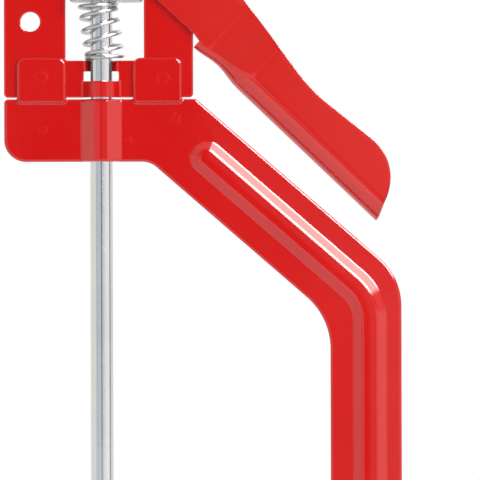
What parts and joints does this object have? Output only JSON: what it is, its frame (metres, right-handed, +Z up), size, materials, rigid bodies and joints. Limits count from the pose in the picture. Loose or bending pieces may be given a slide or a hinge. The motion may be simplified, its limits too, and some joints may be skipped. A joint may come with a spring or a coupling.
{
  "type": "quick release bar clamp",
  "caption": "Hand clamp: pressed C-frame, sliding rod driven by a squeeze trigger against a fixed handle, with a release lever, a swivelling jaw and a fixed jaw.",
  "frame": {"origin": "centre of the fixed jaw's face, on the rod's axis", "axes": "+Z up along the rod towards the handle, +X towards the arm of the frame, -Y is the front"},
  "size_m": [0.1861, 0.028, 0.3859],
  "materials": {
    "red_paint": "gloss",
    "zinc": "satin",
    "rod_zinc": "polished",
    "spring_steel": "satin",
    "knob_plastic": "satin",
    "soft_face": "matte"
  },
  "bodies": {
    "clamp frame": {"frame_front": "red_paint", "frame_rear": "red_paint", "mechanism_plate": "red_paint", "handle": "red_paint", "handle_rivets": "zinc", "handle_bushes": "zinc", "trigger_rivet": "zinc", "trigger_washers": "zinc", "drive_spring": "spring_steel", "release_spring": "spring_steel", "anvil": "zinc", "anvil_rivet": "zinc", "anvil_pad": "soft_face"},
    "trigger": {"trigger": "red_paint"},
    "drive plate": {"drive_plate": "zinc"},
    "release lever": {"release_lever": "zinc"},
    "rod": {"rod": "rod_zinc", "rod_knob": "knob_plastic", "rod_knob_pin": "zinc"},
    "swivel jaw": {"swivel_cup": "zinc", "swivel_ring": "spring_steel", "swivel_pad": "soft_face"}
  },
  "joints": [
    {"name": "trigger_pivot", "type": "hinge", "parent": "clamp frame", "child": "trigger", "pos_m": [0.0284, 0, 0.2638], "axis": [0, -1, 0], "range_deg": [0, 22], "stiffness_Nm_per_rad": 0.5, "springref_deg": -20.05},
    {"name": "drive_slide", "type": "slide", "parent": "clamp frame", "child": "drive plate", "axis": [0, 0, -1], "range_m": [0, 0.0055], "deforming": ["drive_spring"]},
    {"name": "release_hinge", "type": "hinge", "parent": "clamp frame", "child": "release lever", "pos_m": [-0.027, 0, 0.3042], "axis": [0, 1, 0], "range_deg": [0, 8], "stiffness_Nm_per_rad": 0.3, "springref_deg": -11.46, "deforming": ["release_spring"]},
    {"name": "rod_slide", "type": "slide", "parent": "clamp frame", "child": "rod", "axis": [0, 0, 1], "range_m": [-0.01, 0.14]},
    {"name": "jaw_swivel", "type": "hinge", "parent": "rod", "child": "swivel jaw", "pos_m": [0, 0, 0.0225], "axis": [0, 1, 0], "range_deg": [-6, 6]}
  ],
  "couplings": [
    {"joint": "drive_slide", "follows": "trigger_pivot", "m_per_rad": 0.01432}
  ]
}
